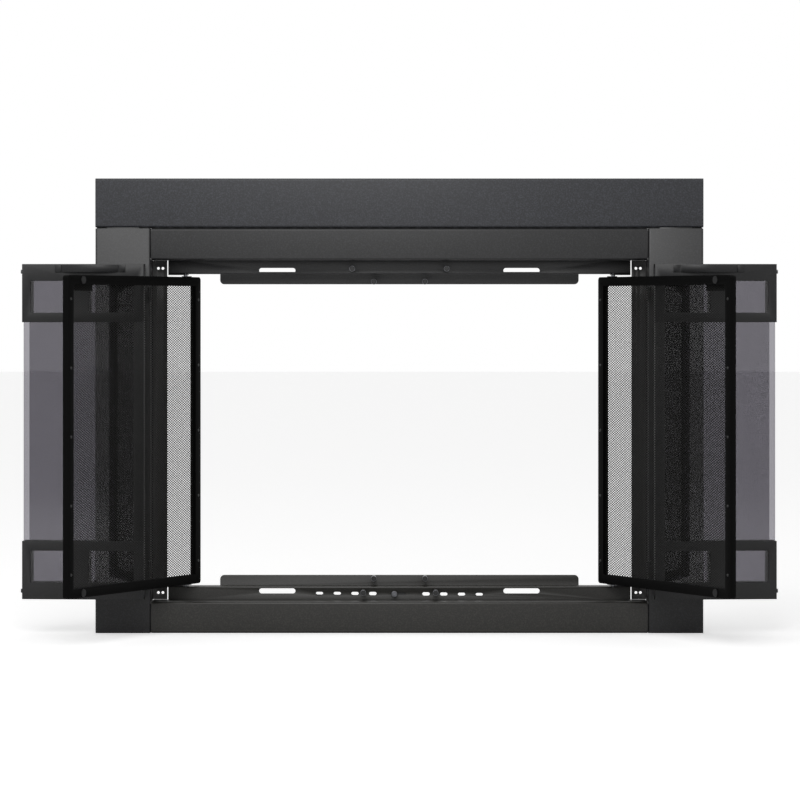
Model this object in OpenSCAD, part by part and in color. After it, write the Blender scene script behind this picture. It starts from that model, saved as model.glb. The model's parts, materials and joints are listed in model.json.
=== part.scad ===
// Fireplace glass door: a folded-sheet surround with bi-fold glass doors,
// gate mesh doors behind them and a sliding air damper in the lower channel.
// X runs to the right, Y into the fireplace, Z up. The origin is the centre
// of the surround's lower edge, on the plane of the wall that it stands against.
// The right half is drawn, and the left half is its mirror image.

/* [Surround] */
// Overall width of the surround
frame_w = 1130; // [1080:1:1240]
// Overall height of the surround
frame_h = 845; // [760:1:960]
// How far the surround stands in front of the wall
frame_depth = 25; // [20:1:30]
// Height of the lintel fascia
lintel_h = 91; // [60:1:120]
// Width of each stile
stile_w = 102.6; // [90:0.2:110]
// Height of the header rail
header_h = 58.7; // [40:0.1:80]
// Height of the sill rail
sill_h = 57.9; // [40:0.1:70]
// Sheet thickness of the surround
sheet_t = 2; // [1.5:0.1:2.5]
// Outside radius of the folded edges
bend_r = 4; // [3:0.5:5]
// Open joint between the lintel and what stands below it
lintel_joint = 2; // [1:0.5:3]
// Gap between a rail's end and the stile
rail_gap = 1.2; // [0.5:0.1:2]
// Height of the lips that lie against the wall
wall_lip_h = 12; // [8:1:18]

/* [Channels] */
// Depth from the front face to the channel webs
reveal_depth = 60; // [59:1:70]
// Height of a channel's web clear of its rail
channel_show = 25.2; // [22:0.1:30]
// Depth of a channel's rear flange
channel_flange = 35; // [30:1:45]
// Inside radius of a channel's bend
channel_bend = 0.6; // [0.4:0.1:0.8]
// Gap between a channel's end and the jamb
channel_gap = 1.9; // [1:0.1:3]
// Width of the jamb flange that shows beside the channels
jamb_w = 27; // [24:1:30]
// Length of a stop plate
stop_plate_l = 676; // [560:2:720]
// Height of a stop plate clear of its channel
stop_plate_h = 19; // [15:1:25]
// Corner radius of a stop plate
stop_plate_r = 8; // [4:1:12]
// Diameter of the holes for the fixing brackets
fixing_d = 5.2; // [4:0.1:6.5]
// Distance between the two fixing holes of a pair
fixing_pitch = 8.4; // [8:0.1:10]
// Length of a large air slot
air_slot_l = 68; // [40:1:70]
// Height of a large air slot
air_slot_h = 9.6; // [6:0.1:12]
// Distance from the centre to a large air slot
air_slot_x = 229; // [228:1:260]

/* [Damper] */
// Number of damper slots on each side of the knob
damper_slots = 4; // [2:1:4]
// Distance between damper slots
damper_pitch = 33.3; // [32:0.1:34]
// Length of a damper slot
damper_slot_l = 14; // [10:0.5:15]
// Height of a damper slot
damper_slot_h = 7; // [5:0.5:8]
// Height of the slide plate
damper_h = 12; // [11:0.1:12]
// Thickness of the slide plate
damper_t = 1.5; // [1:0.1:2]
// How far the slide plate hangs out of level, in degrees
damper_tilt = 0.8; // [0:0.1:0.8]
// Diameter of the damper knob
knob_d = 11; // [9:0.5:13]
// Distance of the open knob to the left of the centre
knob_x = 9.4; // [8:0.2:12]

/* [Glass doors] */
// Thickness of a door panel
panel_t = 17; // [15:0.5:17]
// Width of the inner panel
inner_w = 226.4; // [200:0.2:227.4]
// Gap between the doors and the rails above and below
door_clear = 8; // [5:0.5:12]
// Gap between the two closed doors
meeting_gap = 3; // [2:0.5:5]
// Sheet thickness of the door plates
plate_t = 2; // [1.5:0.1:2.5]
// Height of a door plate
plate_h = 107.6; // [95:0.2:120]
// Height of the solid band at the outer end of a door plate
plate_band = 31; // [28:0.5:36]
// Height of the bar between the plate's windows and the glass
plate_bar = 17.8; // [12:0.2:24]
// Width of the plate beside the window at the fold
plate_side = 15.4; // [12:0.2:20]
// Width of the window at the fold
fold_window_w = 81; // [60:0.5:90]
// Width of the bar between the two windows
window_bar = 27.5; // [18:0.5:36]
// Width of the trim along a panel's other edge
trim_w = 18.2; // [14:0.2:24]
// Thickness of the glass
glass_t = 5; // [4:0.5:6]
// Gap around the glass at the sides of the inner panel
glass_inset = 2.8; // [2.6:0.1:4]
// Further inset of the outer panel's glass
outer_glass_inset = 5.4; // [0:0.2:8]

/* [Hinges and handles] */
// How far the open glass doors lie back past square, in degrees
lay_back = 4; // [0:0.5:4]
// Distance of the hinge axis in front of the closed door's face
hinge_out = 4.5; // [4.5:0.1:6]
// Distance of the hinge axis outside the stile's inner edge
hinge_over = 1.5; // [1.2:0.1:2]
// Distance from the hinge axis to the outer panel's edge
hinge_side_gap = 7.3; // [7:0.1:9]
// Radius of a hinge knuckle
knuckle_r = 4; // [3.5:0.1:4]
// Radius of a hinge pin
pin_r = 1.7; // [1.5:0.1:2]
// Height of a hinge
hinge_h = 26; // [20:1:34]
// Distance from a door's end to the far side of its hinge
hinge_inset = 68; // [60:1:80]
// Distance of the fold axis outside the panel edges
fold_side = 2.5; // [2.5:0.1:3]
// Distance of the fold axis behind the panels
fold_back = 3; // [3:0.1:3.5]
// Radius of a fold lug
lug_r = 3.5; // [3:0.1:3.5]
// Thickness of a fold lug
lug_t = 2.4; // [2:0.1:3]
// Distance from a door's end to the fold lugs
lug_inset = 11.5; // [10:0.5:14]
// Running clearance of pins in their holes
pin_clear = 0.08; // [0.05:0.01:0.1]
// Length of a handle
handle_l = 131; // [100:1:150]
// Height of a handle
handle_h = 13.4; // [10:0.2:14]
// Thickness of a handle's bar
handle_t = 3; // [2.5:0.1:3.5]
// How far a handle stands out
handle_out = 15; // [12:0.5:17]
// Distance from the door's top to the handle
handle_drop = 1.6; // [1:0.1:1.6]
// Distance from the meeting edge to the handle
handle_in = 33.8; // [28:0.2:50]

/* [Mesh doors] */
// Distance from the jamb's edge to a mesh door's pivot
mesh_pivot_in = 35.4; // [34:0.2:38]
// Depth of the mesh pivot behind the front face
mesh_pivot_depth = 45; // [45:0.5:47]
// Thickness of the mesh door's frame
mesh_t = 12; // [10:0.5:12]
// Face width of the mesh door's frame
mesh_bar = 17; // [14:0.5:20]
// Length of the mesh door beyond its pivot
mesh_over = 32; // [24:0.5:32]
// Gap between a mesh door and the channels above and below
mesh_clear = 6; // [5.5:0.1:8]
// Distance of the mesh door behind its pivot axis
mesh_set = 1; // [0.8:0.1:1.5]
// Clearance of the open mesh door from the unfolding glass door
mesh_glass_clear = 2.5; // [2:0.1:6]
// Corner radius of the mesh door
mesh_r = 6; // [3:0.5:9]
// Radius of a mesh door's pivot pin
mesh_pin_r = 2.35; // [2:0.05:2.6]
// Thickness of the screen
screen_t = 1; // [0.8:0.1:1.5]
// Width of a screen strand
strand_w = 4; // [2:0.5:5]
// Number of columns of gaps in a screen
screen_cols = 5; // [3:1:5]
// Number of rows of gaps in a screen
screen_rows = 12; // [6:1:12]
// Length of a mesh door's finger pull
pull_l = 58; // [40:1:70]

/* [Catches] */
// Diameter of a magnetic catch
catch_d = 10.5; // [8:0.5:12]
// Gap between a catch and what it holds
catch_gap = 0.3; // [0.3:0.1:1]
// Distance from the centre to an upper glass door catch
upper_catch_x = 88; // [60:1:120]
// Distance from the centre to a lower glass door catch
lower_catch_x = 67.5; // [40:1:99]
// Distance from the centre to a mesh door catch
mesh_catch_x = 48; // [30:1:60]
// Diameter of a strike button
strike_d = 14; // [12:0.5:16]
// Thickness of a strike button
strike_t = 1.5; // [1:0.1:2]

/* [Hidden] */
$fn = 48;

BLACK = "#3b3b3e";
DARK = "#242427";
STEEL = "#8f9094";
SMOKE = [0.35, 0.34, 0.38, 0.45];
EPS = 1;
SEAT = 0.3;

// Surround
front_y = -frame_depth;
half_w = frame_w / 2;
inner_x = half_w - stile_w;
stile_top = frame_h - lintel_h - lintel_joint;
head_z = stile_top - header_h;
rail_l = 2 * (inner_x - rail_gap);

// Channels
web_y = front_y + reveal_depth;
web_back = web_y + sheet_t;
jamb_x = inner_x - jamb_w;
channel_l = 2 * (jamb_x - channel_gap);
top_flange_z = head_z - channel_show;
low_flange_z = sill_h + channel_show - sheet_t / 2;
stop_y = web_y + channel_flange;
stop_seat = 20;
fixing_x = inner_x - jamb_w / 2 + sheet_t / 2;
fixing_top_z = head_z - channel_show / 2 - sheet_t;
fixing_low_z = sill_h + channel_show / 2;
air_slot_edge = 1.6;
top_air_z = top_flange_z + air_slot_edge + air_slot_h / 2;
low_air_z = low_flange_z - sheet_t - air_slot_edge - air_slot_h / 2;
joiner_w = 60;
joiner_h = 45;
cleat_w = 30;
cleat_gap = 1;

// Glass doors
door_z = sill_h + door_clear;
door_top = head_z - door_clear;
door_h = door_top - door_z;
hinge_x = inner_x + hinge_over;
hinge_y = front_y - hinge_out;
outer_x = hinge_x - hinge_side_gap;
outer_w = outer_x - meeting_gap / 2 - inner_w - 2 * fold_side;
fold_x = outer_x - outer_w - fold_side;
fold_y = front_y + panel_t + fold_back;
inner_x0 = meeting_gap / 2;
rest_fold_x = hinge_x
  + (hinge_x - fold_x) * cos(lay_back) + (fold_y - hinge_y) * sin(lay_back);
rest_fold_y = hinge_y
  + (hinge_x - fold_x) * sin(lay_back) - (fold_y - hinge_y) * cos(lay_back);
window_h = plate_h - plate_band - plate_bar;
lip_h = 15;
leaf_t = 1.8;
leaf_reach = 14;
frame_leaf_reach = 22;
knuckle_gap = 0.3;
pin_head_h = 1;
door_hinge_z = [door_z + hinge_inset - hinge_h, door_top - hinge_inset];
hinge_leaf_back = 0.4;
lug_z = [door_z + lug_inset, door_top - lug_inset - 2 * lug_t - SEAT];
lug_reach = 9;

// Mesh doors
mesh_pivot_x = jamb_x - mesh_pivot_in;
pivot_y = front_y + mesh_pivot_depth;
mesh_y = pivot_y + mesh_set;
mesh_z = low_flange_z + mesh_clear;
mesh_top = top_flange_z - mesh_clear;
mesh_x = meeting_gap / 2 + SEAT;
mesh_w = mesh_pivot_x + mesh_over - mesh_x;
mesh_h = mesh_top - mesh_z;
fold_reach = norm([rest_fold_x - mesh_pivot_x, rest_fold_y - pivot_y]);
fold_sweep_r = norm([inner_w + fold_side, panel_t + fold_back]);
mesh_open = 180 - atan2(pivot_y - rest_fold_y, rest_fold_x - mesh_pivot_x)
  - asin((fold_sweep_r + mesh_glass_clear - mesh_set) / fold_reach);
bracket_t = 2;
bracket_eye_r = 4;
bushing_r = 4;
pivot_tab_t = 1.6;

// Catches
mesh_back = mesh_y + mesh_t;
upper_catch_z = door_top - lip_h / 2 - SEAT;
lower_catch_z = door_z + lip_h / 2 - SEAT;
catch_dish = 3;
catch_dish_depth = 1;

// Damper
damper_up = 10.5;
damper_z = sill_h + damper_up;
damper_gap = 0.3;
damper_y = web_back + damper_gap;
damper_travel = damper_pitch / 2;
damper_first = 1.5 * damper_pitch;
guide_w = 12;
guide_gap = 1.5;
guide_room = 0.5;
guide_x = damper_first + (damper_slots - 1) * damper_pitch + damper_slot_l / 2 + guide_gap;
damper_end = guide_x + guide_w + guide_gap;
stem_r = 2;
knob_slot_h = 5;
knob_front = 13;
knob_head = 7;
knob_bevel = 2;

// ---- Shapes that repeat ----

// Draws its children on the right, or their mirror image on the left
module on_side(side) {
  if (side == "left") mirror([1, 0, 0]) children();
  else children();
}

// Runs a section, drawn as depth and height, along X about the centre
module along_x(length) {
  rotate([90, 0, 90]) linear_extrude(length, center = true) children();
}

// Cuts a shape, drawn as X and Z, through from y0 for a length
module through_y(y0, length) {
  translate([0, y0 + length, 0]) rotate([90, 0, 0]) linear_extrude(length) children();
}

// Block with its two front edges rounded
module bent_block(depth, span, r) {
  translate([r, 0]) square([depth - r, span]);
  translate([0, r]) square([r, span - 2 * r]);
  translate([r, r]) circle(r);
  translate([r, span - r]) circle(r);
}

// Folded sheet with a front wall and two flanges
module u_section(depth, span) {
  difference() {
    bent_block(depth, span, bend_r);
    translate([sheet_t, sheet_t])
      bent_block(depth, span - 2 * sheet_t, bend_r - sheet_t);
  }
}

// Folded sheet with a web and one flange, which meet in a bend at the origin
module l_section(depth, span) {
  r = channel_bend + sheet_t;
  difference() {
    union() {
      translate([r, 0]) square([depth - r, span]);
      translate([0, r]) square([r, span - r]);
      translate([r, r]) circle(r);
    }
    translate([r, sheet_t]) square([depth, span]);
    translate([sheet_t, r]) square([depth, span]);
    translate([r, r]) circle(channel_bend);
  }
}

// Slot with round ends, about its centre
module slot(length, height) {
  square([length - height, height], center = true);
  for (s = [-1, 1]) translate([s * (length - height) / 2, 0]) circle(height / 2);
}

// Plate about the centre in X, with its two lower corners rounded
module tab(width, height, r) {
  translate([-width / 2, r]) square([width, height - r]);
  translate([-width / 2 + r, 0]) square([width - 2 * r, r]);
  for (s = [-1, 1]) translate([s * (width / 2 - r), r]) circle(r);
}

// Rectangle from the origin with four round corners
module round_rect(width, height, r) {
  translate([r, 0]) square([width - 2 * r, height]);
  translate([0, r]) square([width, height - 2 * r]);
  for (x = [r, width - r], z = [r, height - r]) translate([x, z]) circle(r);
}

// ---- Surround ----

module lintel_fascia() {
  color(BLACK) translate([0, front_y, frame_h - lintel_h]) {
    along_x(frame_w) u_section(frame_depth, lintel_h);
    for (s = [-1, 1]) translate([s * (half_w - sheet_t / 2), 0, 0])
      along_x(sheet_t) bent_block(frame_depth, lintel_h, bend_r);
    translate([-half_w, frame_depth - sheet_t, lintel_h - wall_lip_h])
      cube([frame_w, sheet_t, wall_lip_h]);
  }
}

module stile(side) {
  color(BLACK) on_side(side) difference() {
    translate([inner_x, front_y, 0]) linear_extrude(stile_top) mirror([1, -1, 0])
      u_section(reveal_depth + sheet_t, stile_w);
    translate([half_w - 2 * sheet_t, 0, -EPS])
      cube([3 * sheet_t, 2 * reveal_depth, stile_top + 2 * EPS]);
  }
}

module left_stile() stile("left");
module right_stile() stile("right");

module header_rail() {
  color(BLACK) translate([0, front_y, head_z]) difference() {
    along_x(rail_l) u_section(reveal_depth, header_h);
    translate([-half_w, frame_depth, header_h - 2 * sheet_t])
      cube([frame_w, reveal_depth, 3 * sheet_t]);
  }
}

module sill_rail() {
  color(BLACK) translate([0, front_y, 0]) {
    difference() {
      along_x(rail_l) u_section(reveal_depth, sill_h);
      translate([-half_w, frame_depth, -sheet_t]) cube([frame_w, reveal_depth, 3 * sheet_t]);
    }
    translate([-rail_l / 2, frame_depth - sheet_t, 0]) cube([rail_l, sheet_t, wall_lip_h]);
  }
}

// Angles in the joint below the lintel, which tie it to the stiles
module lintel_joiners() {
  color(DARK) for (s = [-1, 1])
    translate([s * (half_w - stile_w / 2) - joiner_w / 2, front_y + sheet_t, stile_top]) {
      translate([0, 0, -joiner_h]) cube([joiner_w, sheet_t, joiner_h]);
      cube([joiner_w, frame_depth - 2 * sheet_t, lintel_joint]);
    }
}

// Angles inside the rails' ends, which tie them to the stiles
module rail_cleats() {
  color(DARK) for (side = ["left", "right"]) on_side(side)
    for (rail = [[0, sill_h], [head_z, header_h]])
      translate([inner_x, front_y + sheet_t, rail[0] + bend_r]) {
        translate([-cleat_w, 0, 0]) cube([cleat_w, sheet_t, rail[1] - 2 * bend_r]);
        translate([-sheet_t, 0, 0])
          cube([sheet_t, frame_depth - 2 * sheet_t - cleat_gap, rail[1] - 2 * bend_r]);
      }
}

// ---- Channels and what they carry ----

module jamb(side) {
  color(BLACK) on_side(side) difference() {
    translate([0, 0, sill_h]) linear_extrude(head_z - sill_h) {
      translate([jamb_x, web_back]) square([jamb_w + 2 * sheet_t, sheet_t]);
      translate([inner_x + sheet_t, web_back - reveal_depth / 2])
        square([sheet_t, reveal_depth / 2 + sheet_t]);
    }
    for (z = [fixing_low_z, fixing_top_z], s = [-1, 1])
      translate([fixing_x - sheet_t + s * fixing_pitch / 2, web_back - EPS, z])
        rotate([-90, 0, 0]) cylinder(r = fixing_d / 2, h = sheet_t + 2 * EPS);
  }
}

module left_jamb() jamb("left");
module right_jamb() jamb("right");

module top_channel() {
  color(BLACK) difference() {
    translate([0, web_y, top_flange_z]) along_x(channel_l)
      l_section(channel_flange, channel_show + 2 * sheet_t);
    for (s = [-1, 1]) through_y(web_y - EPS, sheet_t + 2 * EPS)
      translate([s * air_slot_x, top_air_z]) slot(air_slot_l, air_slot_h);
  }
}

module bottom_channel() {
  color(BLACK) difference() {
    translate([0, web_y, low_flange_z]) mirror([0, 0, 1]) along_x(channel_l)
      l_section(channel_flange, channel_show + 2 * sheet_t);
    through_y(web_y - EPS, sheet_t + 2 * EPS) {
      for (s = [-1, 1]) translate([s * air_slot_x, low_air_z]) slot(air_slot_l, air_slot_h);
      damper_slot_row();
      translate([damper_travel / 2 - knob_x, damper_z])
        slot(damper_travel + 2 * knob_slot_h, knob_slot_h);
    }
  }
}

// The row of slots that the web and the slide plate share
module damper_slot_row() {
  for (s = [-1, 1], i = [0 : damper_slots - 1])
    translate([s * (damper_first + i * damper_pitch), damper_z])
      slot(damper_slot_l, damper_slot_h);
}

module stop_plate() {
  through_y(stop_y, sheet_t) translate([0, -stop_plate_h])
    tab(stop_plate_l, stop_plate_h + 2 * sheet_t, stop_plate_r);
  translate([-stop_plate_l / 2, stop_y - stop_seat, sheet_t])
    cube([stop_plate_l, stop_seat + sheet_t, sheet_t]);
}

module top_stop_plate() color(BLACK) translate([0, 0, top_flange_z]) stop_plate();
module bottom_stop_plate()
  color(BLACK) translate([0, 0, low_flange_z]) mirror([0, 0, 1]) stop_plate();

// Magnet cup that stands forward from y1 to y0
module catch_post(x, z, y0, y1) {
  translate([x, y0, z]) rotate([-90, 0, 0]) difference() {
    cylinder(r = catch_d / 2, h = y1 - y0);
    translate([0, 0, -EPS]) cylinder(r = catch_dish, h = EPS + catch_dish_depth);
  }
}

module glass_door_catches() {
  color(STEEL) for (s = [-1, 1]) {
    catch_post(s * upper_catch_x, upper_catch_z, front_y + panel_t + catch_gap, web_y);
    catch_post(s * lower_catch_x, lower_catch_z, front_y + panel_t + catch_gap, web_y);
  }
}

module mesh_door_catches() {
  color(STEEL) for (s = [-1, 1], z = [mesh_z + mesh_bar / 2, mesh_top - mesh_bar / 2])
    catch_post(s * mesh_catch_x, z, mesh_back + strike_t + catch_gap, stop_y);
}

// Arm on the channel's flange, with an eye for the mesh door's pin
module pivot_bracket() {
  difference() {
    linear_extrude(bracket_t) {
      translate([mesh_pivot_x, pivot_y]) circle(bracket_eye_r);
      translate([mesh_pivot_x - bracket_eye_r, pivot_y])
        square([2 * bracket_eye_r, web_y - pivot_y]);
      translate([mesh_pivot_x - bracket_eye_r, web_y])
        square([channel_l / 2 - mesh_pivot_x + bracket_eye_r, stop_seat]);
    }
    translate([mesh_pivot_x, pivot_y, -EPS])
      cylinder(r = mesh_pin_r + pin_clear, h = bracket_t + 2 * EPS);
  }
}

module mesh_pivot_brackets() {
  color(DARK) for (side = ["left", "right"]) on_side(side) {
    translate([0, 0, low_flange_z]) pivot_bracket();
    translate([0, 0, top_flange_z - bracket_t]) pivot_bracket();
  }
}

// ---- Frame hinges ----

// Heights of a hinge's knuckles: the frame's are first and last
function knuckle_z(i) = i * hinge_h / 3 + (i > 0 ? knuckle_gap / 2 : 0);
function knuckle_len(i) = hinge_h / 3 - knuckle_gap / (i == 1 ? 1 : 2);

module knuckle(i) {
  translate([hinge_x, hinge_y, knuckle_z(i)]) cylinder(r = knuckle_r, h = knuckle_len(i));
}

module hinge_bore() {
  translate([hinge_x, hinge_y, -EPS]) cylinder(r = pin_r + pin_clear, h = hinge_h + 2 * EPS);
}

module frame_hinges(side) {
  color(DARK) on_side(side) for (z = door_hinge_z) translate([0, 0, z]) difference() {
    union() {
      translate([inner_x - leaf_t, front_y + hinge_leaf_back, 0])
        cube([leaf_t, frame_leaf_reach, hinge_h]);
      for (i = [0, 2]) {
        knuckle(i);
        translate([inner_x - leaf_t, hinge_y, knuckle_z(i)])
          cube([leaf_t, hinge_out + 2 * hinge_leaf_back, knuckle_len(i)]);
      }
    }
    hinge_bore();
  }
}

module left_frame_hinges() frame_hinges("left");
module right_frame_hinges() frame_hinges("right");

module frame_hinge_pins() {
  color(STEEL) for (side = ["left", "right"]) on_side(side)
    for (z = door_hinge_z) translate([hinge_x, hinge_y, z]) {
      cylinder(r = pin_r, h = hinge_h);
      translate([0, 0, hinge_h]) cylinder(r = knuckle_r - SEAT, h = pin_head_h);
    }
}

// ---- Damper ----

// Tips its children about the knob, as the slide plate hangs
module hung_on_knob() {
  translate([-knob_x, 0, damper_z]) rotate([0, damper_tilt, 0])
    translate([knob_x, 0, -damper_z]) children();
}

module damper_plate() {
  color(DARK) hung_on_knob() through_y(damper_y, damper_t) difference() {
    translate([-damper_end - damper_travel, damper_z - damper_h / 2])
      square([2 * damper_end + damper_travel, damper_h]);
    damper_slot_row();
  }
}

module damper_guides() {
  color(DARK) hung_on_knob() for (s = [-1, 1])
    translate([s * (guide_x + guide_w / 2) - guide_w / 2, web_back, damper_z])
      difference() {
        translate([0, 0, -damper_h / 2 - guide_room - damper_t])
          cube([guide_w, damper_t + 2 * damper_gap + damper_t,
            damper_h + 2 * guide_room + 2 * damper_t]);
        translate([-EPS, -EPS, -damper_h / 2 - guide_room])
          cube([guide_w + 2 * EPS, damper_t + 2 * damper_gap + EPS,
            damper_h + 2 * guide_room]);
      }
}

module damper_knob() {
  color(STEEL) translate([-knob_x, damper_y, damper_z]) rotate([90, 0, 0]) {
    cylinder(r = stem_r, h = knob_front);
    translate([0, 0, knob_front - knob_head])
      cylinder(r = knob_d / 2, h = knob_head - knob_bevel);
    translate([0, 0, knob_front - knob_bevel])
      cylinder(r1 = knob_d / 2, r2 = knob_d / 2 - knob_bevel, h = knob_bevel, $fn = 32);
  }
}

// ---- Glass doors, drawn closed and then swung to rest ----

module outer_at_rest(side) {
  on_side(side) translate([hinge_x, hinge_y, 0]) rotate([0, 0, 180 + lay_back])
    translate([-hinge_x, -hinge_y, 0]) children();
}

module inner_at_rest(side) {
  outer_at_rest(side) translate([2 * fold_x, 2 * fold_y, 0]) rotate([0, 0, 180]) children();
}

// Tray-like plate across a panel's upper end, from the panel's fold edge at x = 0
module door_plate(width) {
  difference() {
    cube([width, panel_t, plate_h]);
    translate([plate_t, plate_t, -EPS])
      cube([width - 2 * plate_t, panel_t - 2 * plate_t, plate_h - plate_t + EPS]);
    translate([plate_t, plate_t, -EPS])
      cube([width - 2 * plate_t, panel_t, plate_h - lip_h + EPS]);
    translate([plate_side, -EPS, plate_bar])
      cube([fold_window_w, plate_t + 2 * EPS, window_h]);
    translate([plate_side + fold_window_w + window_bar, -EPS, plate_bar])
      cube([width - plate_side - fold_window_w - window_bar - trim_w,
        plate_t + 2 * EPS, window_h]);
  }
}

// Fold lug: an eye on the fold axis and its root in the plate's side
module fold_lug(level) {
  translate([0, 0, level * (lug_t + SEAT)]) difference() {
    union() {
      translate([-fold_side, panel_t + fold_back, 0]) cylinder(r = lug_r, h = lug_t);
      translate([-fold_side, panel_t + fold_back - lug_r, 0]) cube([fold_side, lug_r, lug_t]);
      translate([-fold_side / 2, panel_t - lug_reach, 0])
        cube([fold_side / 2, lug_reach, lug_t]);
    }
    translate([-fold_side, panel_t + fold_back, -EPS])
      cylinder(r = pin_r + pin_clear, h = lug_t + 2 * EPS);
  }
}

// The upper and the lower plate of a panel, with the fold edge at x = 0
module top_plate(width, level) {
  translate([0, 0, door_top - plate_h]) door_plate(width);
  translate([0, 0, lug_z[1]]) fold_lug(level);
}

module bottom_plate(width, level) {
  translate([0, 0, door_z + plate_h]) mirror([0, 0, 1]) door_plate(width);
  translate([0, 0, lug_z[0]]) fold_lug(level);
}

module pane(width, inset) {
  translate([inset, plate_t, door_z + plate_t + SEAT])
    cube([width - inset - glass_inset, glass_t, door_h - 2 * plate_t - 2 * SEAT]);
}

// Folded trim along the edge that is away from the fold
module edge_trim(width) {
  translate([0, 0, door_z + plate_h]) linear_extrude(door_h - 2 * plate_h) {
    translate([width - trim_w, 0]) square([trim_w, plate_t]);
    translate([width - plate_t, 0]) square([plate_t, panel_t]);
  }
}

// Strips that press the glass against the two plates
module gaskets(width) {
  for (z = [door_z + plate_t + SEAT, door_top - plate_t - SEAT - lip_h + plate_t])
    translate([glass_inset + outer_glass_inset, plate_t + glass_t, z])
      cube([width - 2 * glass_inset - 2 * outer_glass_inset,
        panel_t - 2 * plate_t - glass_t, lip_h - plate_t]);
}

// The outer panel's fold edge faces the centre when it is closed
module outer_panel(side) {
  outer_at_rest(side) translate([outer_x - outer_w, front_y, 0]) children();
}

// The inner panel's fold edge faces the stile when it is closed
module inner_panel(side) {
  inner_at_rest(side) translate([inner_x0 + inner_w, front_y, 0])
    mirror([1, 0, 0]) children();
}

module outer_top_plate(side) color(BLACK) outer_panel(side) top_plate(outer_w, 0);
module outer_bottom_plate(side) color(BLACK) outer_panel(side) bottom_plate(outer_w, 0);
module outer_glass(side)
  color(SMOKE) outer_panel(side) pane(outer_w, glass_inset + outer_glass_inset);
module outer_edge_trim(side) color(BLACK) outer_panel(side) edge_trim(outer_w);
module outer_gaskets(side) color(DARK) outer_panel(side) gaskets(outer_w);

module inner_top_plate(side) color(BLACK) inner_panel(side) top_plate(inner_w, 1);
module inner_bottom_plate(side) color(BLACK) inner_panel(side) bottom_plate(inner_w, 1);
module inner_glass(side) color(SMOKE) inner_panel(side) pane(inner_w, glass_inset);
module inner_meeting_trim(side) color(BLACK) inner_panel(side) edge_trim(inner_w);
module inner_gaskets(side) color(DARK) inner_panel(side) gaskets(inner_w);

module outer_hinge_leaves(side) {
  color(DARK) outer_at_rest(side) for (z = door_hinge_z) translate([0, 0, z]) difference() {
    union() {
      knuckle(1);
      translate([outer_x - leaf_reach, front_y - leaf_t, 0])
        cube([leaf_reach + hinge_side_gap / 4, leaf_t, hinge_h]);
      translate([outer_x, front_y - leaf_t, knuckle_z(1)])
        cube([hinge_side_gap, leaf_t - hinge_leaf_back, knuckle_len(1)]);
    }
    hinge_bore();
  }
}

module fold_pins(side) {
  color(STEEL) outer_at_rest(side) for (z = lug_z) translate([fold_x, fold_y, z]) {
    cylinder(r = pin_r, h = 2 * lug_t + 2 * SEAT);
    translate([0, 0, -pin_head_h]) cylinder(r = lug_r - SEAT, h = pin_head_h);
    translate([0, 0, 2 * lug_t + 2 * SEAT]) cylinder(r = lug_r - SEAT, h = pin_head_h);
  }
}

// Arched flat bar whose two feet lie on the inner panel's band
module handle(side) {
  foot = 12;
  chord = handle_l - 2 * foot + 2 * handle_t;
  arc_r = (chord * chord / 4 + handle_out * handle_out) / (2 * handle_out);
  color(STEEL) inner_at_rest(side)
    translate([inner_x0 + handle_in + handle_l / 2, front_y,
      door_top - handle_drop - handle_h]) linear_extrude(handle_h) {
        intersection() {
          translate([0, arc_r - handle_out]) difference() {
            circle(arc_r, $fn = 96);
            circle(arc_r - handle_t, $fn = 96);
          }
          translate([-chord / 2, -handle_out]) square([chord, handle_out]);
        }
        for (s = [-1, 1])
          translate([s * (handle_l - foot) / 2 - foot / 2, -handle_t]) square([foot, handle_t]);
      }
}

// ---- Mesh doors, drawn closed and then swung to rest ----

module mesh_at_rest(side) {
  on_side(side) translate([mesh_pivot_x, pivot_y, 0]) rotate([0, 0, mesh_open])
    translate([-mesh_pivot_x, -pivot_y, 0]) children();
}

module mesh_frame(side) {
  color(DARK) mesh_at_rest(side) through_y(mesh_y, mesh_t) translate([mesh_x, mesh_z])
    difference() {
      round_rect(mesh_w, mesh_h, mesh_r);
      translate([mesh_bar, mesh_bar]) square([mesh_w - 2 * mesh_bar, mesh_h - 2 * mesh_bar]);
    }
}

// Expanded-metal screen: staggered diamond gaps between straight strands
module mesh_screen(side) {
  open_w = mesh_w - 2 * mesh_bar;
  open_h = mesh_h - 2 * mesh_bar;
  cell_w = (open_w - strand_w) / screen_cols;
  cell_h = (open_h - strand_w) / screen_rows;
  gap_w = cell_w - strand_w * norm([cell_w, cell_h]) / cell_h;
  gap_h = gap_w * cell_h / cell_w;
  color(DARK) mesh_at_rest(side)
    through_y(mesh_y + (mesh_t - screen_t) / 2, screen_t)
    translate([mesh_x + mesh_bar, mesh_z + mesh_bar]) difference() {
      square([open_w, open_h]);
      intersection() {
        translate([strand_w / 2, strand_w / 2]) square([open_w - strand_w, open_h - strand_w]);
        for (i = [0 : 2 * screen_cols], j = [0 : 2 * screen_rows])
          if ((i + j) % 2 == 0)
            translate([strand_w / 2 + i * cell_w / 2, strand_w / 2 + j * cell_h / 2])
              polygon([[gap_w / 2, 0], [0, gap_h / 2], [-gap_w / 2, 0], [0, -gap_h / 2]]);
      }
    }
}

// Pin on a tab that is welded across the frame's end, drawn for the lower end
module mesh_pivot() {
  tab_w = 4 * bushing_r;
  translate([mesh_pivot_x - tab_w / 2, pivot_y - bushing_r + SEAT, -pivot_tab_t])
    cube([tab_w, mesh_t, pivot_tab_t]);
  translate([mesh_pivot_x, pivot_y, -mesh_clear + bracket_t + SEAT])
    cylinder(r = bushing_r - SEAT, h = mesh_clear - bracket_t - SEAT);
  translate([mesh_pivot_x, pivot_y, -mesh_clear - SEAT])
    cylinder(r = mesh_pin_r, h = mesh_clear + SEAT);
}

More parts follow.
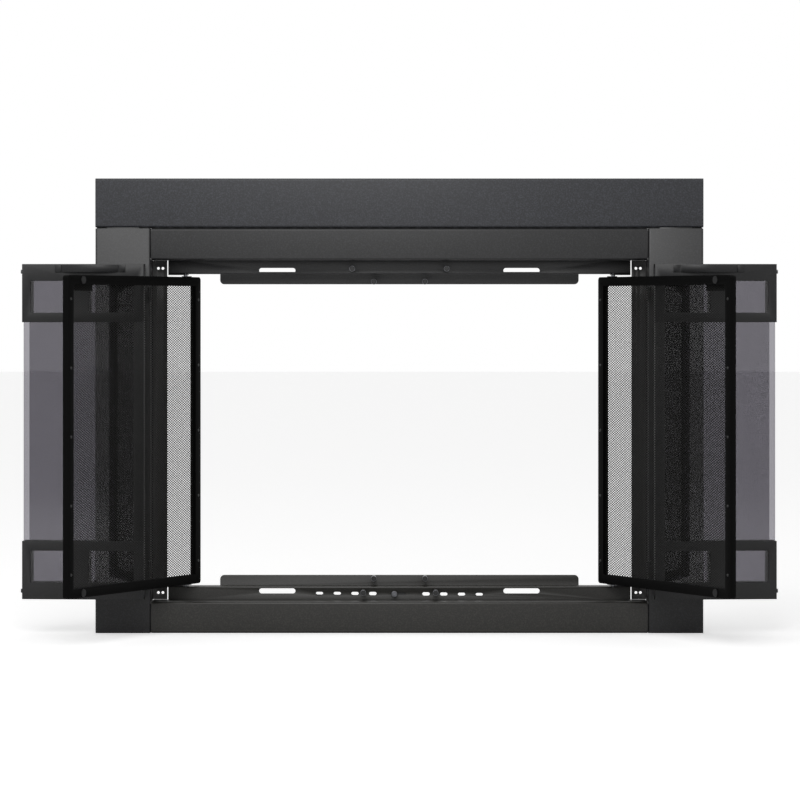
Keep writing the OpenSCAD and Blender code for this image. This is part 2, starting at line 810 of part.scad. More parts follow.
module mesh_pivots(side) {
  color(STEEL) mesh_at_rest(side) {
    translate([0, 0, mesh_z]) mesh_pivot();
    translate([0, 0, mesh_top]) mirror([0, 0, 1]) mesh_pivot();
  }
}

module mesh_strikes(side) {
  color(STEEL) mesh_at_rest(side) for (z = [mesh_z + mesh_bar / 2, mesh_top - mesh_bar / 2])
    translate([mesh_catch_x, mesh_back, z]) rotate([-90, 0, 0])
      cylinder(r = strike_d / 2, h = strike_t);
}

// Angle on the front of the upper bar, which a finger hooks behind
module mesh_pull(side) {
  pull_lip = 11;
  pull_drop = 11;
  pull_t = 1.5;
  color(DARK) mesh_at_rest(side)
    translate([mesh_x + 2 * mesh_bar, mesh_y, mesh_top - mesh_bar - pull_drop]) {
      translate([0, -pull_t, 0]) cube([pull_l, pull_t, pull_drop + mesh_bar / 2]);
      translate([0, -pull_lip, 0]) cube([pull_l, pull_lip, pull_t]);
    }
}

// ---- The assembly ----

lintel_fascia();
left_stile();
right_stile();
header_rail();
sill_rail();
lintel_joiners();
rail_cleats();
left_jamb();
right_jamb();
top_channel();
bottom_channel();
top_stop_plate();
bottom_stop_plate();
glass_door_catches();
mesh_door_catches();
mesh_pivot_brackets();
left_frame_hinges();
right_frame_hinges();
frame_hinge_pins();
damper_guides();
damper_plate();
damper_knob();
outer_top_plate("left");  // left_outer_top_plate
outer_bottom_plate("left");  // left_outer_bottom_plate
outer_glass("left");  // left_outer_glass
outer_edge_trim("left");  // left_outer_edge_trim
outer_gaskets("left");  // left_outer_gaskets
outer_hinge_leaves("left");  // left_outer_hinge_leaves
fold_pins("left");  // left_fold_pins
outer_top_plate("right");  // right_outer_top_plate
outer_bottom_plate("right");  // right_outer_bottom_plate
outer_glass("right");  // right_outer_glass
outer_edge_trim("right");  // right_outer_edge_trim
outer_gaskets("right");  // right_outer_gaskets
outer_hinge_leaves("right");  // right_outer_hinge_leaves
fold_pins("right");  // right_fold_pins
inner_top_plate("left");  // left_inner_top_plate
inner_bottom_plate("left");  // left_inner_bottom_plate
inner_glass("left");  // left_inner_glass
inner_meeting_trim("left");  // left_inner_meeting_trim
inner_gaskets("left");  // left_inner_gaskets
handle("left");  // left_handle
inner_top_plate("right");  // right_inner_top_plate
inner_bottom_plate("right");  // right_inner_bottom_plate
inner_glass("right");  // right_inner_glass
inner_meeting_trim("right");  // right_inner_meeting_trim
inner_gaskets("right");  // right_inner_gaskets
handle("right");  // right_handle
mesh_frame("left");  // left_mesh_frame
mesh_screen("left");  // left_mesh_screen
mesh_pivots("left");  // left_mesh_pivots
mesh_strikes("left");  // left_mesh_strikes
mesh_pull("left");  // left_mesh_pull
mesh_frame("right");  // right_mesh_frame
mesh_screen("right");  // right_mesh_screen
mesh_pivots("right");  // right_mesh_pivots
mesh_strikes("right");  // right_mesh_strikes
mesh_pull("right");  // right_mesh_pull
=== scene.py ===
"""Dresses the fireplace glass door.

Sheet finishes, expanded metal, rivets, joint rope, catches, knob and a small studio.
"""

import json
import logging
import math
from dataclasses import dataclass, field
from enum import Enum

import bpy
from mathutils import Matrix, Vector


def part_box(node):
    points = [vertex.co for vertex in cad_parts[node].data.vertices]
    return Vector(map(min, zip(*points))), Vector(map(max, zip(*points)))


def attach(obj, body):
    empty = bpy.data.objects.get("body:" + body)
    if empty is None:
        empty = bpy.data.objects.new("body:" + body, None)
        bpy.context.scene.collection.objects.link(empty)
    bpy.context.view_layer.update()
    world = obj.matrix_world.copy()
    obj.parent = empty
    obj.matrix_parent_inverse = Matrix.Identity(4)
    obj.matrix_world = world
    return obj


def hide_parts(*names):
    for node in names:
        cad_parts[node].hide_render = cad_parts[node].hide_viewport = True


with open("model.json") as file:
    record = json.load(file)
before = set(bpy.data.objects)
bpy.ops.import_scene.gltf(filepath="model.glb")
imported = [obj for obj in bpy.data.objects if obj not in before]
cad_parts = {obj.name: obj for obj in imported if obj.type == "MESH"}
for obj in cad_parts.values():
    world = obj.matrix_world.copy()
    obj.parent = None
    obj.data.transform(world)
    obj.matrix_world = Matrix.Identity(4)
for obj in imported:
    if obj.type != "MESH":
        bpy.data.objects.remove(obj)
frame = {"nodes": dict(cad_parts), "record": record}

LOG = logging.getLogger("fireplace_door")
MM = 0.001
NORMAL_Y = (math.radians(90), 0.0, 0.0)
WHITE = "#ffffff"
CLEAR_IOR = 1.5  # the refractive index of float glass, and of a coat's binder
SPIN_WELD_MM = 0.001


class Side(Enum):
    """The two halves of the door, by the start of their nodes' and bodies' names."""

    LEFT = "left_"
    RIGHT = "right_"


class Slot(Enum):
    """The record's material slots."""

    BLACK = "black_powder"
    DARK = "dark_steel"
    BRIGHT = "bright_steel"
    GLASS = "smoked_glass"
    GASKET = "gasket"


def linear(hex_colour: str) -> tuple[float, float, float, float]:
    """Turns an sRGB hex colour into linear RGBA.

    Args:
        hex_colour: The colour, such as "#1a1a1c".

    Returns:
        Red, green, blue and an alpha of 1.
    """
    parts = [int(hex_colour[i : i + 2], 16) / 255 for i in (1, 3, 5)]
    curved = [p / 12.92 if p <= 0.04045 else ((p + 0.055) / 1.055) ** 2.4 for p in parts]
    return (*curved, 1.0)


def per_size(size_mm: float) -> float:
    """Gives the texture scale at which a pattern repeats every so many millimetres."""
    return 1.0 / (size_mm * MM)


def add_node(
    tree: bpy.types.NodeTree, kind: str, values: dict | None = None, **settings
) -> bpy.types.Node:
    """Adds one node with its settings, socket values and links.

    Args:
        tree: The node tree that takes the node.
        kind: The node's type, without the ShaderNode prefix.
        values: A socket's name or number, and its value or the output socket that feeds it.
        **settings: Properties of the node itself.

    Returns:
        The new node.
    """
    node = tree.nodes.new("ShaderNode" + kind)
    for name, value in settings.items():
        setattr(node, name, value)
    for socket, value in (values or {}).items():
        if isinstance(value, bpy.types.NodeSocket):
            tree.links.new(value, node.inputs[socket])
        else:
            node.inputs[socket].default_value = value
    return node


def new_material(name: str, values: dict) -> tuple[bpy.types.Material, bpy.types.Node]:
    """Makes a material with one Principled shader.

    Args:
        name: The material's name.
        values: Values of the shader's sockets.

    Returns:
        The material and its shader.
    """
    material = bpy.data.materials.new(name)
    material.use_nodes = True
    tree = material.node_tree
    tree.nodes.clear()
    shader = add_node(tree, "BsdfPrincipled", values)
    add_node(tree, "OutputMaterial", {"Surface": shader.outputs[0]})
    return material, shader


def own_place(tree: bpy.types.NodeTree) -> bpy.types.NodeSocket:
    """Gives the piece's own coordinates, which move with it."""
    return add_node(tree, "TexCoord").outputs["Object"]


def add_noise(
    tree: bpy.types.NodeTree,
    place: bpy.types.NodeSocket,
    size_mm: float,
    detail: float,
    values: dict | None = None,
) -> bpy.types.NodeSocket:
    """Adds noise of a given grain.

    Args:
        tree: The node tree.
        place: The coordinates that it is laid out in.
        size_mm: The size of its grain.
        detail: How many finer layers it has.
        values: Values of its other sockets.

    Returns:
        The socket with its strength.
    """
    basics = {"Vector": place, "Scale": per_size(size_mm), "Detail": detail}
    return add_node(tree, "TexNoise", {**basics, **(values or {})}).outputs[0]


def remap(
    tree: bpy.types.NodeTree,
    value: bpy.types.NodeSocket,
    source: tuple[float, float],
    target: tuple[float, float],
) -> bpy.types.NodeSocket:
    """Maps a value from a source range to a target range."""
    ends = {1: source[0], 2: source[1], 3: target[0], 4: target[1]}
    return add_node(tree, "MapRange", {0: value, **ends}).outputs[0]


def join_values(
    tree: bpy.types.NodeTree,
    operation: str,
    first: bpy.types.NodeSocket,
    second: bpy.types.NodeSocket | float,
) -> bpy.types.NodeSocket:
    """Adds a sum, product, maximum or the like of two values."""
    return add_node(tree, "Math", {0: first, 1: second}, operation=operation).outputs[0]


def blend_base(
    shader: bpy.types.Node, share: bpy.types.NodeSocket, colour: str, other: str
) -> None:
    """Blends two colours, by the share of the second, into a shader's base colour."""
    tree = shader.id_data
    blend = add_node(
        tree, "Mix", {0: share, 6: linear(colour), 7: linear(other)}, data_type="RGBA"
    )
    tree.links.new(blend.outputs[2], shader.inputs["Base Color"])


def emboss(
    shader: bpy.types.Node, height: bpy.types.NodeSocket, strength: float, depth_mm: float
) -> None:
    """Gives a shader's surface the relief of a height pattern."""
    tree = shader.id_data
    relief = add_node(
        tree, "Bump", {"Strength": strength, "Distance": depth_mm * MM, "Height": height}
    )
    tree.links.new(relief.outputs[0], shader.inputs["Normal"])


def seen_rays(tree: bpy.types.NodeTree) -> tuple[bpy.types.Node, bpy.types.NodeSocket]:
    """Picks out the rays of the eye, straight or through glass.

    Args:
        tree: The node tree.

    Returns:
        The light path node, and a socket that is 1 for those rays.
    """
    path = add_node(tree, "LightPath")
    camera, through = (path.outputs[f"Is {kind} Ray"] for kind in ("Camera", "Transmission"))
    return path, join_values(tree, "MAXIMUM", camera, through)


# ---- Finishes ----


@dataclass(frozen=True)
class PowderCoat:
    """Powder baked on steel sheet: a satin black skin, with a painted glint on its orange peel's
    crests.
    """

    name: str
    colour: str
    crest_glint: str
    peel_mm: float = 2.2
    peel_depth_mm: float = 0.05
    peel_coarseness: float = 0.62
    crest_glint_range: tuple[float, float] = (0.46, 0.72)
    cloud_mm: float = 160.0
    cloud_range: tuple[float, float] = (0.3, 0.7)
    roughness: float = 0.42
    gloss_spread: float = 0.05
    bump: float = 0.22
    specular: float = 0.5

    def make(self) -> bpy.types.Material:
        """Builds the coat: a painted glint on the peel's crests, uneven gloss and a shallow orange
        peel.
        """
        material, shader = new_material(
            self.name,
            {
                "Roughness": self.roughness,
                "IOR": CLEAR_IOR,
                "Specular IOR Level": self.specular,
            },
        )
        tree = material.node_tree
        place = own_place(tree)
        peel = add_noise(tree, place, self.peel_mm, 3.0, {"Roughness": self.peel_coarseness})
        cloud = add_noise(tree, place, self.cloud_mm, 2.0)
        # The second, lighter colour sits on the peel's crests: a painted glint.
        blend_base(shader, remap(tree, peel, self.crest_glint_range, (0.0, 1.0)), self.colour, self.crest_glint)
        ends = (self.roughness - self.gloss_spread, self.roughness + self.gloss_spread)
        gloss = remap(tree, cloud, self.cloud_range, ends)
        tree.links.new(gloss, shader.inputs["Roughness"])
        emboss(shader, peel, self.bump, self.peel_depth_mm)
        return material


@dataclass(frozen=True)
class PlatedSteel:
    """Zinc-plated steel, turned or drawn: a soft grey metal with fine streaks and dull patches."""

    name: str
    colour: str = "#8d8e92"
    dull: str = "#66676b"
    streak_mm: float = 3.0
    streak_range: tuple[float, float] = (0.2, 0.8)
    roughness: float = 0.34
    brighter: float = 0.08
    duller: float = 0.12

    def make(self) -> bpy.types.Material:
        """Builds the plating: two greys and an uneven gloss."""
        material, shader = new_material(
            self.name, {"Metallic": 1.0, "Roughness": self.roughness}
        )
        tree = material.node_tree
        streaks = add_noise(tree, own_place(tree), self.streak_mm, 4.0)
        blend_base(shader, streaks, self.colour, self.dull)
        ends = (self.roughness - self.brighter, self.roughness + self.duller)
        gloss = remap(tree, streaks, self.streak_range, ends)
        tree.links.new(gloss, shader.inputs["Roughness"])
        return material


@dataclass(frozen=True)
class SmokedGlass:
    """Tempered float glass, tinted grey through its body: clear, dark and mirror-smooth."""

    name: str
    tint: str = "#9a989e"
    roughness: float = 0.01
    wave_mm: float = 120.0
    wave_depth_mm: float = 0.05
    bump: float = 0.04

    def make(self) -> bpy.types.Material:
        """Builds the glass, with the faint waves that tempering rollers leave."""
        material, shader = new_material(
            self.name,
            {
                "Base Color": linear(self.tint),
                "Roughness": self.roughness,
                "IOR": CLEAR_IOR,
                "Transmission Weight": 1.0,
            },
        )
        tree = material.node_tree
        waves = add_noise(tree, own_place(tree), self.wave_mm, 1.0)
        emboss(shader, waves, self.bump, self.wave_depth_mm)
        return material


@dataclass(frozen=True)
class FibreRope:
    """Braided glass fibre, black: a soft matt strip whose braid shows as small lozenges."""

    name: str
    colour: str = "#0d0d0d"
    thread: str = "#2a2a2b"
    roughness: float = 0.95
    braid_mm: float = 3.0
    bands_per_unit: float = 20
    braid_deg: float = 35.0
    waver: float = 0.6
    bump: float = 0.5
    braid_depth_mm: float = 0.4

    def band(
        self, tree: bpy.types.NodeTree, place: bpy.types.NodeSocket, turn: float
    ) -> bpy.types.NodeSocket:
        """Adds the bands of the threads that run one way.

        Args:
            tree: The node tree.
            place: The piece's coordinates.
            turn: The threads' angle, in radians.

        Returns:
            The socket with the bands' strength.
        """
        turned = add_node(tree, "Mapping", {"Vector": place, "Rotation": (0.0, turn, 0.0)})
        scale = per_size(self.braid_mm) / self.bands_per_unit
        values = {"Vector": turned.outputs[0], "Scale": scale, "Distortion": self.waver}
        return add_node(tree, "TexWave", values).outputs[1]

    def make(self) -> bpy.types.Material:
        """Builds the braid from two crossing bands."""
        material, shader = new_material(self.name, {"Roughness": self.roughness})
        tree = material.node_tree
        place = own_place(tree)
        turns = (math.radians(self.braid_deg), math.radians(-self.braid_deg))
        one_way, other_way = (self.band(tree, place, turn) for turn in turns)
        braid = join_values(tree, "MULTIPLY", one_way, other_way)
        blend_base(shader, braid, self.colour, self.thread)
        emboss(shader, braid, self.bump, self.braid_depth_mm)
        return material


@dataclass(frozen=True)
class PaleFloor:
    """Matt pale studio paper, with a tooth that is just there."""

    name: str = "studio_paper"
    colour: str = "#fbfbfb"
    roughness: float = 0.95
    specular: float = 0.1
    glow: float = 0.42
    tooth_mm: float = 4.0
    tooth_depth_mm: float = 0.1
    bump: float = 0.05

    def make(self) -> bpy.types.Material:
        """Builds the paper, with a lift that the eye sees and that doesn't light the door."""
        material, shader = new_material(
            self.name,
            {
                "Roughness": self.roughness,
                "Specular IOR Level": self.specular,
                "Base Color": linear(self.colour),
                "Emission Color": linear(WHITE),
            },
        )
        tree = material.node_tree
        _, seen = seen_rays(tree)
        lift = join_values(tree, "MULTIPLY", seen, self.glow)
        tree.links.new(lift, shader.inputs["Emission Strength"])
        tooth = add_noise(tree, own_place(tree), self.tooth_mm, 2.0)
        emboss(shader, tooth, self.bump, self.tooth_depth_mm)
        return material


Finish = PowderCoat | PlatedSteel | SmokedGlass | FibreRope


def made(finish: Finish) -> bpy.types.Material:
    """Declares a palette entry, whose material is made along with the palette."""
    return field(default_factory=finish.make)


@dataclass
class Palette:
    """Every finish of the door, each made once. The lintel, sill and jamb coats are lighter copies
    of the frame's black, and the screen a lighter copy of the mesh's black, with painted sheen and
    painted light in their colour.
    """

    # Lighter and bluer than the frame's black: a painted sheen for the front lights' reflection
    # across the lintel.
    lintel: bpy.types.Material = made(PowderCoat("powder_coat_lintel_painted_sheen", "#1c1d21", "#393b42"))
    frame: bpy.types.Material = made(PowderCoat("powder_coat_frame", "#151516", "#2a2a2c"))
    # Lighter and warmer than the frame's black: a painted sheen for the studio lights' reflection
    # on the sill, bottom channel and bottom stop plate.
    sill: bpy.types.Material = made(PowderCoat("powder_coat_sill_painted_sheen", "#191815", "#302e2a"))
    door: bpy.types.Material = made(
        PowderCoat("powder_coat_door", "#0e0e0f", "#1e1e20", roughness=0.4, specular=0.38)
    )
    mesh: bpy.types.Material = made(
        PowderCoat(
            "dipped_black_mesh",
            "#020202",
            "#060606",
            peel_mm=1.5,
            roughness=0.6,
            bump=0.1,
            specular=0.06,
        )
    )
    # Lighter than the mesh frame's black: painted light on the strands, which sit in the mesh
    # doors' own shade.
    screen: bpy.types.Material = made(
        PowderCoat(
            "dipped_black_screen_painted_light",
            "#0a0a09",
            "#141413",
            peel_mm=1.5,
            roughness=0.55,
            bump=0.1,
            specular=0.15,
        )
    )
    # Lighter than the frame's black: painted light on the jambs, which sit in shade behind the mesh
    # doors.
    jamb: bpy.types.Material = made(PowderCoat("powder_coat_jamb_painted_light", "#21201f", "#343231"))
    oxide: bpy.types.Material = made(
        PowderCoat("black_oxide_steel", "#0c0c0d", "#191919", roughness=0.36)
    )
    plated: bpy.types.Material = made(PlatedSteel("zinc_plated_steel"))
    glass: bpy.types.Material = made(SmokedGlass("smoked_tempered_glass"))
    rope: bpy.types.Material = made(FibreRope("black_fibre_rope"))


# ---- Work on the bench ----


class Bench:
    """Small steps of modelling by hand that every piece shares."""

    @staticmethod
    def clear() -> None:
        """Leaves edit mode and deselects every object."""
        if bpy.context.object and bpy.context.object.mode != "OBJECT":
            bpy.ops.object.mode_set(mode="OBJECT")
        bpy.ops.object.select_all(action="DESELECT")

    @staticmethod
    def pick(piece: bpy.types.Object) -> None:
        """Selects one object alone and makes it active."""
        Bench.clear()
        piece.select_set(True)
        bpy.context.view_layer.objects.active = piece

    @staticmethod
    def edit(piece: bpy.types.Object, mode: str = "FACE") -> None:
        """Opens a piece in edit mode with all of it selected."""
        Bench.pick(piece)
        bpy.ops.object.mode_set(mode="EDIT")
        bpy.ops.mesh.select_mode(type=mode)
        bpy.ops.mesh.select_all(action="SELECT")

    @staticmethod
    def modify(piece: bpy.types.Object, kind: str, **settings) -> None:
        """Adds a modifier with its settings and applies it."""
        Bench.pick(piece)
        modifier = piece.modifiers.new(kind.lower(), kind)
        for name, value in settings.items():
            setattr(modifier, name, value)
        bpy.ops.object.modifier_apply(modifier=modifier.name)

    @staticmethod
    def copy(piece: bpy.types.Object, offset: Vector) -> bpy.types.Object:
        """Copies a piece with its own mesh and moves the copy.

        Args:
            piece: The piece to copy.
            offset: How far the copy moves.

        Returns:
            The copy, with its place in its mesh.
        """
        Bench.pick(piece)
        bpy.ops.object.duplicate(linked=False)
        twin = bpy.context.object
        twin.location = offset
        bpy.ops.object.transform_apply(location=True, rotation=True, scale=True)
        return twin

    @staticmethod
    def join(parts: list[bpy.types.Object]) -> bpy.types.Object:
        """Joins several parts into the first one and returns it."""
        Bench.clear()
        for part in parts:
            part.select_set(True)
        bpy.context.view_layer.objects.active = parts[0]
        bpy.ops.object.join()
        return parts[0]

    @staticmethod
    def turned(profile: list[tuple[float, float]], at: Vector, steps: int) -> bpy.types.Object:
        """Turns a profile about an axis along Y, as on a lathe.

        Args:
            profile: Radius and depth of each corner in metres; both ends lie on the axis.
            at: The point on the axis where depth is zero.
            steps: The number of facets round the axis.

        Returns:
            The closed, turned piece.
        """
        Bench.clear()
        bpy.ops.mesh.primitive_plane_add(size=MM, location=at)
        piece = bpy.context.object
        bpy.ops.object.transform_apply(location=True, rotation=True, scale=True)
        Bench.edit(piece, "VERT")
        bpy.ops.mesh.merge(type="CENTER")
        bpy.ops.transform.translate(value=(profile[0][0], profile[0][1], 0.0))
        for (r0, d0), (r1, d1) in zip(profile, profile[1:]):
            bpy.ops.mesh.extrude_region_move(
                TRANSFORM_OT_translate={"value": (r1 - r0, d1 - d0, 0.0)}
            )
        bpy.ops.mesh.select_all(action="SELECT")
        bpy.ops.mesh.spin(steps=steps, angle=2 * math.pi, center=at, axis=(0.0, 1.0, 0.0))
        bpy.ops.mesh.select_all(action="SELECT")
        bpy.ops.mesh.remove_doubles(threshold=SPIN_WELD_MM * MM)
        bpy.ops.mesh.normals_make_consistent(inside=False)
        bpy.ops.object.mode_set(mode="OBJECT")
        return piece

    @staticmethod
    def finish(
        piece: bpy.types.Object,
        name: str,
        body: str,
        slot: Slot,
        material: bpy.types.Material,
        replaces: tuple[str, ...] = (),
        smooth_deg: float = 32.0,
    ) -> bpy.types.Object:
        """Gives a piece its name, finish, smooth shading and the body that it rides on.

        Args:
            piece: The finished mesh.
            name: The piece's name.
            body: The body that it moves with.
            slot: The material slot; not used.
            material: Its material.
            replaces: The CAD nodes that it stands for.
            smooth_deg: Edges flatter than this are shaded smooth.

        Returns:
            The piece.
        """
        Bench.pick(piece)
        bpy.ops.object.transform_apply(location=True, rotation=True, scale=True)
        bpy.ops.object.shade_smooth_by_angle(angle=math.radians(smooth_deg))
        piece.name = name
        piece.data.name = name
        piece.data.materials.clear()
        piece.data.materials.append(material)
        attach(piece, body)
        if replaces:
            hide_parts(*replaces)
        LOG.info("%s: %d faces on %s", name, len(piece.data.polygons), body)
        return piece


def body_of_node(node: str) -> str:
    """Finds the body that a CAD node belongs to."""
    bodies = frame["record"]["behaviour"]["bodies"]
    return next(body for body, nodes in bodies.items() if node in nodes)


def closed_to_rest(joint_name: str) -> Matrix:
    """Gives the turn that takes a hinged piece from its closed place to its place at rest.

    Args:
        joint_name: The hinge, whose upper limit is the closed place.

    Returns:
        The turn about the hinge's axis.
    """
    joint = next(j for j in frame["record"]["behaviour"]["joints"] if j["name"] == joint_name)
    pivot = Vector(joint["pos_m"])
    turn = Matrix.Rotation(-math.radians(joint["range_deg"][1]), 4, Vector(joint["axis"]))
    return Matrix.Translation(pivot) @ turn @ Matrix.Translation(-pivot)


# ---- Folded sheet ----


@dataclass
class FoldedSheet:
    """The black sheet parts, with the worn-off sharpness that a coat gives every cut edge."""

    ease_mm: float = 0.45
    segments: int = 2
    corner_deg: float = 35.0
    weld_mm: float = 0.002
    flat_deg: float = 0.5

    def ease(self, node: str, slot: Slot, material: bpy.types.Material) -> bpy.types.Object:
        """Copies a CAD node, eases its edges and puts the copy in the node's place.

        Args:
            node: The CAD node.
            slot: Its material slot.
            material: Its finish.

        Returns:
            The eased copy.
        """
        Bench.pick(frame["nodes"][node])
        bpy.ops.object.duplicate(linked=False)
        piece = bpy.context.object
        piece.parent = None
        Bench.edit(piece)
        bpy.ops.mesh.remove_doubles(threshold=self.weld_mm * MM)
        bpy.ops.mesh.dissolve_limited(angle_limit=math.radians(self.flat_deg))
        bpy.ops.object.mode_set(mode="OBJECT")
        Bench.modify(
            piece,
            "BEVEL",
            width=self.ease_mm * MM,
            segments=self.segments,
            limit_method="ANGLE",
            angle_limit=math.radians(self.corner_deg),
            use_clamp_overlap=True,
        )
        body = body_of_node(node)
        return Bench.finish(piece, node + "_coated", body, slot, material, (node,))


# ---- Mesh doors ----


@dataclass
class ExpandedMetal:
    """Fine expanded steel: zigzag strands that meet at their peaks and leave long diamonds open."""

    diamond_w: float = 8.6
    diamond_h: float = 4.5
    strand_w: float = 1.45
    strand_t: float = 0.9
    weld_mm: float = 0.01

    def strand_pair(self, low: Vector, length: float) -> bpy.types.Object:
        """Makes two neighbouring strands, each the other's mirror image.

        Args:
            low: The lower left end.
            length: How far the strands run along X.

        Returns:
            The pair, ready to be repeated upwards.
        """
        Bench.clear()
        bpy.ops.mesh.primitive_circle_add(
            vertices=4, radius=MM / 2, location=low, rotation=(0.0, math.radians(90), 0.0)
        )
        piece = bpy.context.object
        bpy.ops.object.transform_apply(location=True, rotation=True, scale=True)
        Bench.edit(piece, "VERT")
        half = Vector((self.diamond_w / 2 * MM, 0.0, self.diamond_h / 2 * MM))
        slope = half.normalized()
        upright = self.strand_w / slope.x
        bpy.ops.transform.resize(value=(1.0, self.strand_t, upright), center_override=low)
        bpy.ops.mesh.extrude_region_move(TRANSFORM_OT_translate={"value": half})
        down = (half.x, 0.0, -half.z)
        bpy.ops.mesh.extrude_region_move(TRANSFORM_OT_translate={"value": down})
        bpy.ops.object.mode_set(mode="OBJECT")
        Bench.modify(
            piece,
            "ARRAY",
            count=math.ceil(length / (self.diamond_w * MM)) + 1,
            use_relative_offset=False,
            use_constant_offset=True,
            constant_offset_displace=(self.diamond_w * MM, 0.0, 0.0),
            use_merge_vertices=True,
            merge_threshold=self.weld_mm * MM,
        )
        twin = Bench.copy(piece, Vector((-half.x, 0.0, half.z)))
        return Bench.join([piece, twin])

    def sheet(self, low: Vector, high: Vector) -> bpy.types.Object:
        """Makes a flat sheet that fills a box's width and height.

        Args:
            low: The box's lowest corner.
            high: The box's highest corner.

        Returns:
            The sheet, at the middle of the box's depth.
        """
        middle = (low.y + high.y) / 2
        start = Vector((low.x - self.diamond_w * MM, middle, low.z - self.diamond_h * MM))
        piece = self.strand_pair(start, high.x - start.x + self.diamond_w * MM)
        Bench.modify(
            piece,
            "ARRAY",
            count=math.ceil((high.z - start.z) / (self.diamond_h * MM)) + 1,
            use_relative_offset=False,
            use_constant_offset=True,
            constant_offset_displace=(0.0, 0.0, self.diamond_h * MM),
        )
        Bench.edit(piece)
        for point, outward in (
            (low, (-1.0, 0.0, 0.0)),
            (low, (0.0, 0.0, -1.0)),
            (high, (1.0, 0.0, 0.0)),
            (high, (0.0, 0.0, 1.0)),
        ):
            bpy.ops.mesh.select_all(action="SELECT")
            bpy.ops.mesh.bisect(plane_co=point, plane_no=outward, clear_outer=True)
        bpy.ops.mesh.select_all(action="SELECT")
        bpy.ops.mesh.normals_make_consistent(inside=False)
        bpy.ops.object.mode_set(mode="OBJECT")
        return piece


# A blind rivet's head, as shares of its radius and its height.
RIVET_HEAD = ((0.0, 1.0), (0.55, 1.0), (0.85, 0.75), (1.0, 0.3), (1.0, 0.0), (0.0, 0.0))


@dataclass
class MeshDoor:
    """One gate mesh door: its screen, and the blind rivets along its frame."""

    side: Side
    palette: Palette
    lap_mm: float = 0.6
    rivet_r_mm: float = 2.6
    rivet_h_mm: float = 1.0
    rivet_rows: int = 5
    rivet_facets: int = 14
    end_bars: float = 2.5  # from the frame's ends to the outermost rivets, in bar widths
    screen_smooth_deg: float = 20.0

    def closed_box(self, node: str, rest: Matrix) -> tuple[Vector, Vector]:
        """Measures a node in the door's closed place.

        Args:
            node: The CAD node.
            rest: The turn from closed to rest.

        Returns:
            Its lowest and its highest corner.
        """
        back = rest.inverted()
        points = [back @ v.co for v in frame["nodes"][node].data.vertices]
        low = Vector(min(p[i] for p in points) for i in range(3))
        high = Vector(max(p[i] for p in points) for i in range(3))
        return low, high

    def build(self) -> None:
        """Makes the screen and the rivets, closed, and swings them to rest."""
        name = self.side.value
        body = name + "mesh_door"
        rest = closed_to_rest(name + "mesh_swing")
        low, high = self.closed_box(name + "mesh_screen", rest)
        lap = Vector((self.lap_mm * MM, 0.0, self.lap_mm * MM))
        screen = ExpandedMetal().sheet(low - lap, high + lap)
        screen.matrix_world = rest
        # The screen's coat carries painted light on its strands.
        Bench.finish(
            screen,
            name + "expanded_metal",
            body,
            Slot.DARK,
            self.palette.screen,
            (name + "mesh_screen",),
            self.screen_smooth_deg,
        )
        self.rivets(name, body, rest)

    def rivets(self, name: str, body: str, rest: Matrix) -> None:
        """Sets a column of blind rivets in each upright of the frame.

        Args:
            name: The start of the side's names.
            body: The mesh door's body.
            rest: The turn from closed to rest.
        """
        low, high = self.closed_box(name + "mesh_frame", rest)
        bar = self.closed_box(name + "mesh_screen", rest)[0].x - low.x
        r, h = self.rivet_r_mm * MM, self.rivet_h_mm * MM
        profile = [(across * r, up * h) for across, up in RIVET_HEAD]
        lowest = Vector((low.x + bar / 2, high.y, low.z + self.end_bars * bar))
        first = Bench.turned(profile, lowest, self.rivet_facets)
        column = [first]
        step = (high.z - low.z - 2 * self.end_bars * bar) / (self.rivet_rows - 1)
        for x in (0.0, high.x - low.x - bar):
            for row in range(self.rivet_rows):
                if x or row:
                    column.append(Bench.copy(first, Vector((x, 0.0, row * step))))
        heads = Bench.join(column)
        heads.matrix_world = rest
        Bench.finish(heads, name + "mesh_rivets", body, Slot.DARK, self.palette.oxide)


# ---- Joint, catches and damper ----


@dataclass
class JointRope:
    """A flat black rope in the joint below the lintel.

    It is a guess: the photo shows no light through that joint, and not what closes it.
    """

    palette: Palette
    setback_mm: float = 4.0
    depth_mm: float = 5.0
    end_mm: float = 2.5

    def build(self) -> None:
        """Lays the rope between the lintel and what stands below it."""
        low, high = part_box("lintel_fascia")
        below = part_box("header_rail")[1].z
        depth = self.depth_mm * MM
        front = low.y + self.setback_mm * MM
        centre = ((low.x + high.x) / 2, front + depth / 2, (below + low.z) / 2)
        Bench.clear()
        bpy.ops.mesh.primitive_cube_add(size=1.0, location=centre)
        rope = bpy.context.object
        rope.scale = (high.x - low.x - 2 * self.end_mm * MM, depth, low.z - below)
        body = body_of_node("lintel_fascia")
        Bench.finish(rope, "lintel_joint_rope", body, Slot.GASKET, self.palette.rope)


